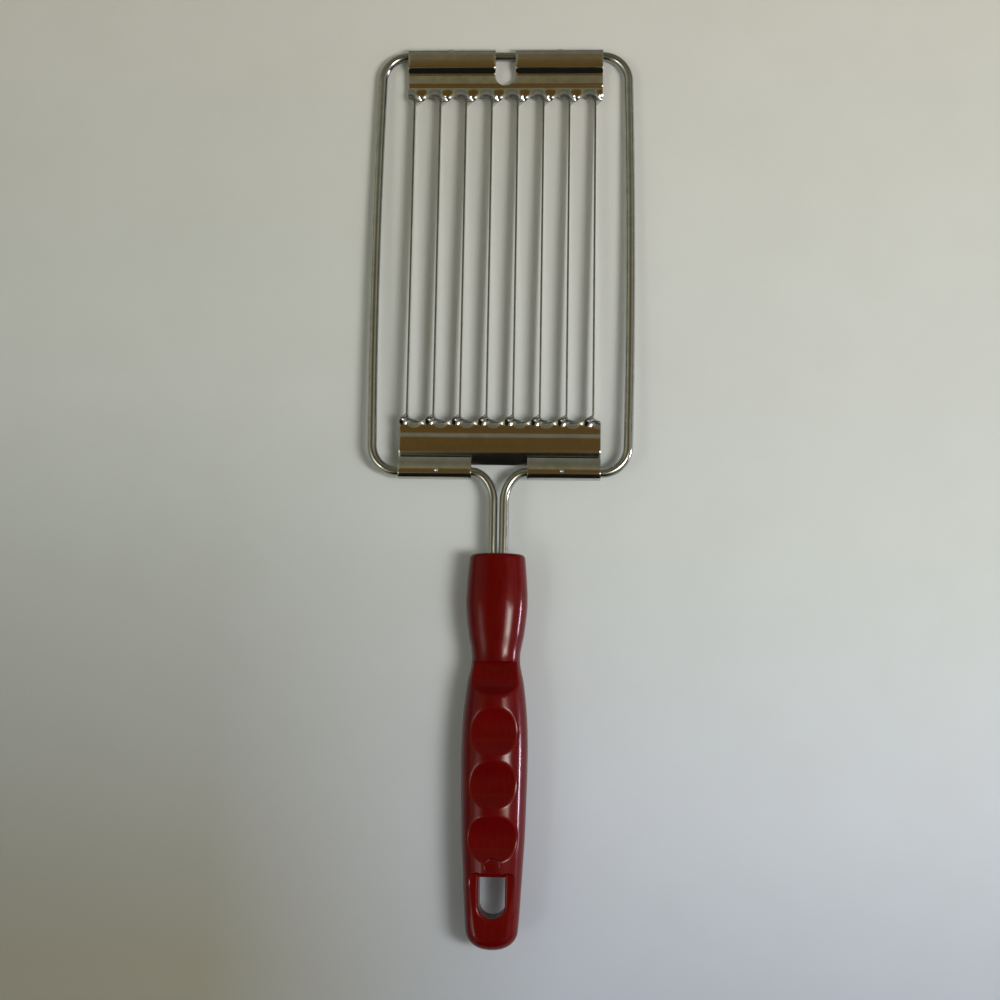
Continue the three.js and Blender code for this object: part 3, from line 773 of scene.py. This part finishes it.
# Noise over the piece in metres, stretched by a scale on each axis
def noise_on(tree, scale, stretch=(1, 1, 1), *, detail):
    place = add(tree, "ShaderNodeTexCoord")
    mapping = add(tree, "ShaderNodeMapping", Scale=stretch)
    noise = add(tree, "ShaderNodeTexNoise", Scale=scale, Detail=detail, Roughness=NOISE_ROUGHNESS)
    tree.links.new(place.outputs["Object"], mapping.inputs["Vector"])
    tree.links.new(mapping.outputs["Vector"], noise.inputs["Vector"])
    return noise.outputs["Fac"]


def ramp(tree, source, low, high, dark, light):
    node = add(tree, "ShaderNodeValToRGB")
    node.color_ramp.elements[0].position = low
    node.color_ramp.elements[1].position = high
    node.color_ramp.elements[0].color = dark
    node.color_ramp.elements[1].color = light
    tree.links.new(source, node.inputs["Fac"])
    return node.outputs["Color"]


def span(tree, source, low, high, start, end):
    node = add(tree, "ShaderNodeMapRange")
    node.inputs["From Min"].default_value = low
    node.inputs["From Max"].default_value = high
    node.inputs["To Min"].default_value = start
    node.inputs["To Max"].default_value = end
    tree.links.new(source, node.inputs["Value"])
    return node.outputs["Result"]


def bump(tree, height, strength, distance, under=None):
    node = add(tree, "ShaderNodeBump", Strength=strength, Distance=distance)
    tree.links.new(height, node.inputs["Height"])
    if under:
        tree.links.new(under, node.inputs["Normal"])
    return node.outputs["Normal"]


def plated_steel(name, finish):
    light, dark, rough, scratch_stretch = finish
    material, tree = new_material(name)
    shader = tree.nodes["Principled BSDF"]
    shader.inputs["Metallic"].default_value = 1
    stain = noise_on(tree, STAIN_SCALE, detail=STAIN_DETAIL)
    pits = noise_on(tree, PIT_SCALE, detail=PIT_DETAIL)
    scratches = noise_on(tree, SCRATCH_SCALE, scratch_stretch, detail=SCRATCH_DETAIL)
    tree.links.new(ramp(tree, stain, *STAIN_RANGE, dark, light), shader.inputs["Base Color"])
    tree.links.new(span(tree, stain, *DULL_RANGE, rough * DULL_SHARE, rough), shader.inputs["Roughness"])
    fine = bump(tree, scratches, SCRATCH_STRENGTH, SCRATCH_DEPTH)
    tree.links.new(bump(tree, pits, PIT_STRENGTH, PIT_DEPTH, fine), shader.inputs["Normal"])
    return material


def red_plastic():
    material, tree = new_material("red_plastic_moulded")
    shader = tree.nodes["Principled BSDF"]
    cloud = noise_on(tree, CLOUD_SCALE, detail=CLOUD_DETAIL)
    scuffs = noise_on(tree, SCUFF_SCALE, SCUFF_STRETCH, detail=SCUFF_DETAIL)
    waves = noise_on(tree, WAVE_SCALE, detail=WAVE_DETAIL)
    grains = noise_on(tree, GRAIN_SCALE, GRAIN_STRETCH, detail=GRAIN_DETAIL)
    tree.links.new(ramp(tree, cloud, *CLOUD_RANGE, DEEP_RED, CLEAR_RED), shader.inputs["Base Color"])
    tree.links.new(span(tree, scuffs, *SCUFF_RANGE, *SCUFF_ROUGHNESS), shader.inputs["Roughness"])
    shader.inputs["Specular IOR Level"].default_value = GLOSS_LEVEL
    shader.inputs["Specular Tint"].default_value = GLOSS_TINT
    shader.inputs["Coat Weight"].default_value = COAT_WEIGHT
    shader.inputs["Coat Roughness"].default_value = COAT_ROUGHNESS
    swell = bump(tree, waves, WAVE_STRENGTH, WAVE_DEPTH)
    grain = bump(tree, grains, GRAIN_STRENGTH, GRAIN_DEPTH, swell)
    rubbed = bump(tree, scuffs, SCUFF_STRENGTH, SCUFF_DEPTH, grain)
    tree.links.new(rubbed, shader.inputs["Normal"])
    tree.links.new(rubbed, shader.inputs["Coat Normal"])
    return material


# Stage

def math_node(tree, kind, first, second=None):
    node = add(tree, "ShaderNodeMath", {"operation": kind})
    for socket, value in zip(node.inputs, (first, second)):
        if isinstance(value, bpy.types.NodeSocket):
            tree.links.new(value, socket)
        elif value is not None:
            socket.default_value = value
    return node.outputs["Value"]


# Ramp of any number of colours, each with its place
def many_ramp(tree, source, colours):
    node = add(tree, "ShaderNodeValToRGB")
    stops = node.color_ramp.elements
    while len(stops) < len(colours):
        stops.new(0.5)
    for stop, (place, colour) in zip(stops, colours):
        stop.position = place
        stop.color = colour
    tree.links.new(source, node.inputs["Fac"])
    return node.outputs["Color"]


def mix_colours(tree, share, first, second):
    node = add(tree, "ShaderNodeMix", {"data_type": "RGBA"})
    tree.links.new(share, node.inputs[0])
    for socket, value in zip([s for s in node.inputs if s.type == "RGBA"], (first, second)):
        if isinstance(value, bpy.types.NodeSocket):
            tree.links.new(value, socket)
        else:
            socket.default_value = value
    return next(s for s in node.outputs if s.type == "RGBA")


# The table top, its colours along it from the handle's side to the far side, a painted light
# falloff that darkens and cools towards the handle, and its darker corner left of the handle, a painted shade
FLOOR_HALF_SIDE = 12
FLOOR_FACES = 8
FLOOR_ROUGHNESS = 0.55
FLOOR_REACH = 0.17
# Painted shade: colour of the darker corner left of the handle, also the colour of the floor's random
# speckles
PAINTED_SHADE_AND_SPECKLE_COLOUR = (0.3, 0.3, 0.25, 1)
PAINTED_SHADE_ACROSS = (0.02, -0.09)
PAINTED_SHADE_ALONG = (0.03, -0.15)
SPECKLE_SCALE = 40
SPECKLE_DETAIL = 6
SPECKLE_RANGE = (0.4, 0.7)
SPECKLE_SHARE = 0.05
# Painted light falloff: the floor's colour gets darker and bluer towards the handle's side
PAINTED_FALLOFF_COLOURS = (
    (0, (0.44, 0.5, 0.63, 1)),
    (0.2, (0.56, 0.62, 0.73, 1)),
    (0.45, (0.61, 0.67, 0.69, 1)),
    (1, (0.75, 0.76, 0.73, 1)),
)


def floor():
    bm = bmesh.new()
    bmesh.ops.create_grid(bm, x_segments=FLOOR_FACES, y_segments=FLOOR_FACES, size=FLOOR_HALF_SIDE)
    ground = drawn_object(bm, "floor")
    material, tree = new_material("pale_table")
    shader = tree.nodes["Principled BSDF"]
    split = add(tree, "ShaderNodeSeparateXYZ")
    tree.links.new(add(tree, "ShaderNodeTexCoord").outputs["Object"], split.inputs["Vector"])
    x, y = (split.outputs[axis] for axis in "XY")
    # Painted light falloff along the floor, from the handle's side to the far side
    even = many_ramp(tree, span(tree, y, -FLOOR_REACH, FLOOR_REACH, 0, 1), PAINTED_FALLOFF_COLOURS)
    # Painted shade: the floor is darkened in the corner left of and below the handle
    painted_shade_leftness = span(tree, x, *PAINTED_SHADE_ACROSS, 0, 1)
    corner = math_node(tree, "MULTIPLY", painted_shade_leftness, span(tree, y, *PAINTED_SHADE_ALONG, 0, 1))
    shaded = mix_colours(tree, corner, even, PAINTED_SHADE_AND_SPECKLE_COLOUR)
    speckles = noise_on(tree, SPECKLE_SCALE, detail=SPECKLE_DETAIL)
    speckle = span(tree, speckles, *SPECKLE_RANGE, 0, SPECKLE_SHARE)
    # Random speckles, mixed towards the same colour as the painted shade
    tree.links.new(mix_colours(tree, speckle, shaded, PAINTED_SHADE_AND_SPECKLE_COLOUR), shader.inputs["Base Color"])
    shader.inputs["Roughness"].default_value = FLOOR_ROUGHNESS
    ground.data.materials.append(material)


# Soft lamps: where each is seen, the axis that it spreads along, how far it spreads along and
# across that axis, and its colour
LAMPS = (
    ((0.99, -0.07, 0.04), (0, 1, 0), 0.14, 0.08, (100, 88, 112)),
    ((-0.65, -0.2, 0.73), (0, 1, 0), 0.3, 0.3, (2, 2, 1.9)),
    ((-0.52, -0.32, 0.79), (0, 1, 0), 0.12, 0.14, (8, 7.6, 7)),
)

# The main lamp, near and above the right side: one glowing panel within another, so that its
# reflection fades towards its edges
LAMP_PLACE = (0.3, -0.098, 0.54)
LAMP_AIM = (0, -0.02, 0)
LAMP_SIZE = (0.14, 0.27)
LAMP_SHARES = (0.5, 0.8, 1.1)
LAMP_WATTS = 2.2
LAMP_COLOUR = (1, 0.96, 0.9)

# How far the room's left and right sides blend into each other. Its side near the handle is
# dark above a low wall, and its far side is dimmer. All are parts of a direction.
SIDE_BLEND = 0.4
NEAR_SIDE = (0.26, 0.4)
NEAR_WALL = (0.04, 0.12)
NEAR_LEVEL = 0.02
FAR_SIDE = (0.42, 0.58)
FAR_LEVEL = 0.5

# Colours by height above the horizon, as sines of the height, on the left and on the right
LEFT_COLOURS = (
    (0, (0.08, 0.08, 0.07, 1)),
    (0.2, (0.2, 0.2, 0.17, 1)),
    (0.35, (0.46, 0.46, 0.38, 1)),
    (0.6, (0.42, 0.42, 0.33, 1)),
    (0.86, (0.26, 0.25, 0.16, 1)),
    (0.918, (0.23, 0.22, 0.14, 1)),
    (0.924, (0.125, 0.075, 0.02, 1)),
    (1, (0.115, 0.066, 0.017, 1)),
)
RIGHT_COLOURS = (
    (0, (0.03, 0.033, 0.03, 1)),
    (0.25, (0.08, 0.085, 0.08, 1)),
    (0.45, (0.3, 0.31, 0.29, 1)),
    (0.65, (0.42, 0.42, 0.36, 1)),
    (0.86, (0.2, 0.19, 0.12, 1)),
    (0.918, (0.23, 0.22, 0.14, 1)),
    (0.924, (0.125, 0.075, 0.02, 1)),
    (1, (0.115, 0.066, 0.017, 1)),
)


def vector_node(tree, kind, first, second):
    node = add(tree, "ShaderNodeVectorMath", {"operation": kind})
    for socket, value in zip(node.inputs, (first, second)):
        if isinstance(value, bpy.types.NodeSocket):
            tree.links.new(value, socket)
        else:
            socket.default_value = value
    return node.outputs["Value" if kind == "DOT_PRODUCT" else "Vector"]


# Soft lamp in the room: a glow round one direction, spread apart along and across an axis
def glow(tree, direction, toward, along, spread_along, spread_across, colour):
    centre = Vector(toward).normalized()
    axis = (Vector(along) - centre * centre.dot(Vector(along))).normalized()
    a = math_node(tree, "DIVIDE", vector_node(tree, "DOT_PRODUCT", direction, axis), spread_along)
    b_axis = centre.cross(axis)
    b = math_node(tree, "DIVIDE", vector_node(tree, "DOT_PRODUCT", direction, b_axis), spread_across)
    square = math_node(tree, "ADD", math_node(tree, "MULTIPLY", a, a), math_node(tree, "MULTIPLY", b, b))
    inside = math_node(tree, "MAXIMUM", math_node(tree, "SUBTRACT", 1, square), 0)
    ahead = math_node(tree, "GREATER_THAN", vector_node(tree, "DOT_PRODUCT", direction, centre), 0)
    share = math_node(tree, "MULTIPLY", math_node(tree, "MULTIPLY", inside, inside), ahead)
    tint = add(tree, "ShaderNodeVectorMath", {"operation": "SCALE"})
    tint.inputs[0].default_value = colour
    tree.links.new(share, tint.inputs["Scale"])
    return tint.outputs["Vector"]


def area_light(name, place, aim, size, power_watts, colour):
    lamp = bpy.data.lights.new(name, "AREA")
    lamp.shape = "RECTANGLE"
    lamp.size, lamp.size_y = size
    lamp.energy = power_watts
    lamp.color = colour
    light = bpy.data.objects.new(name, lamp)
    light.location = place
    light.rotation_euler = (Vector(aim) - Vector(place)).to_track_quat("-Z", "Y").to_euler()
    bpy.context.scene.collection.objects.link(light)


def studio():
    floor()
    for share in LAMP_SHARES:
        size = [side * share for side in LAMP_SIZE]
        area_light("ceiling_lamp", LAMP_PLACE, LAMP_AIM, size, LAMP_WATTS / len(LAMP_SHARES), LAMP_COLOUR)
    world = bpy.data.worlds.new("room")
    bpy.context.scene.world = world
    world.use_nodes = True
    tree = world.node_tree
    background = tree.nodes["Background"]
    direction = add(tree, "ShaderNodeTexCoord").outputs["Generated"]
    split = add(tree, "ShaderNodeSeparateXYZ")
    tree.links.new(direction, split.inputs["Vector"])
    x, y, z = (split.outputs[axis] for axis in "XYZ")
    to_right = span(tree, x, -SIDE_BLEND, SIDE_BLEND, 0, 1)
    room = mix_colours(tree, to_right, many_ramp(tree, z, LEFT_COLOURS), many_ramp(tree, z, RIGHT_COLOURS))
    nearness = math_node(tree, "SUBTRACT", math_node(tree, "MULTIPLY", y, -1), math_node(tree, "ABSOLUTE", x))
    above_wall = span(tree, z, *NEAR_WALL, 0, 1)
    shade = math_node(tree, "MULTIPLY", span(tree, nearness, *NEAR_SIDE, 0, 1), above_wall)
    far_dimming = span(tree, y, *FAR_SIDE, 1, FAR_LEVEL)
    level = math_node(tree, "MULTIPLY", span(tree, shade, 0, 1, 1, NEAR_LEVEL), far_dimming)
    dimmed = add(tree, "ShaderNodeVectorMath", {"operation": "SCALE"})
    tree.links.new(room, dimmed.inputs[0])
    tree.links.new(level, dimmed.inputs["Scale"])
    light = dimmed.outputs["Vector"]
    for lamp in LAMPS:
        light = vector_node(tree, "ADD", light, glow(tree, direction, *lamp))
    tree.links.new(light, background.inputs["Color"])


# The camera as fitted to the picture: its place in metres and its turns in degrees
EYE_PLACE = (0.0191, -0.0512, 0.4354)
EYE_TURNS = (6.007, 2.407, 0.851)
LENS_LENGTH = 49.46
SENSOR_WIDTH = 36


def camera():
    lens = bpy.data.cameras.new("camera")
    lens.sensor_width = SENSOR_WIDTH
    lens.lens = LENS_LENGTH
    eye = bpy.data.objects.new("camera", lens)
    eye.location = EYE_PLACE
    eye.rotation_euler = Euler([math.radians(a) for a in EYE_TURNS])
    bpy.context.scene.collection.objects.link(eye)
    bpy.context.scene.camera = eye


def slicer():
    wire_plate = plated_steel("wire_plate", WIRE_FINISH)
    gang_plates = [plated_steel("sheet_plate", SHEET_FINISH), plated_steel("cut_edge", CUT_FINISH)]
    hand_over(wire_frame(wire_plate), "wire_frame", WIRE_SHARP_FROM)
    hand_over(blade_gang(gang_plates), "blade_gang", GANG_SHARP_FROM)
    hand_over(handle(red_plastic()), "handle", HANDLE_SHARP_FROM)


camera()
studio()
slicer()
bpy.context.scene.view_settings.view_transform = "Standard"
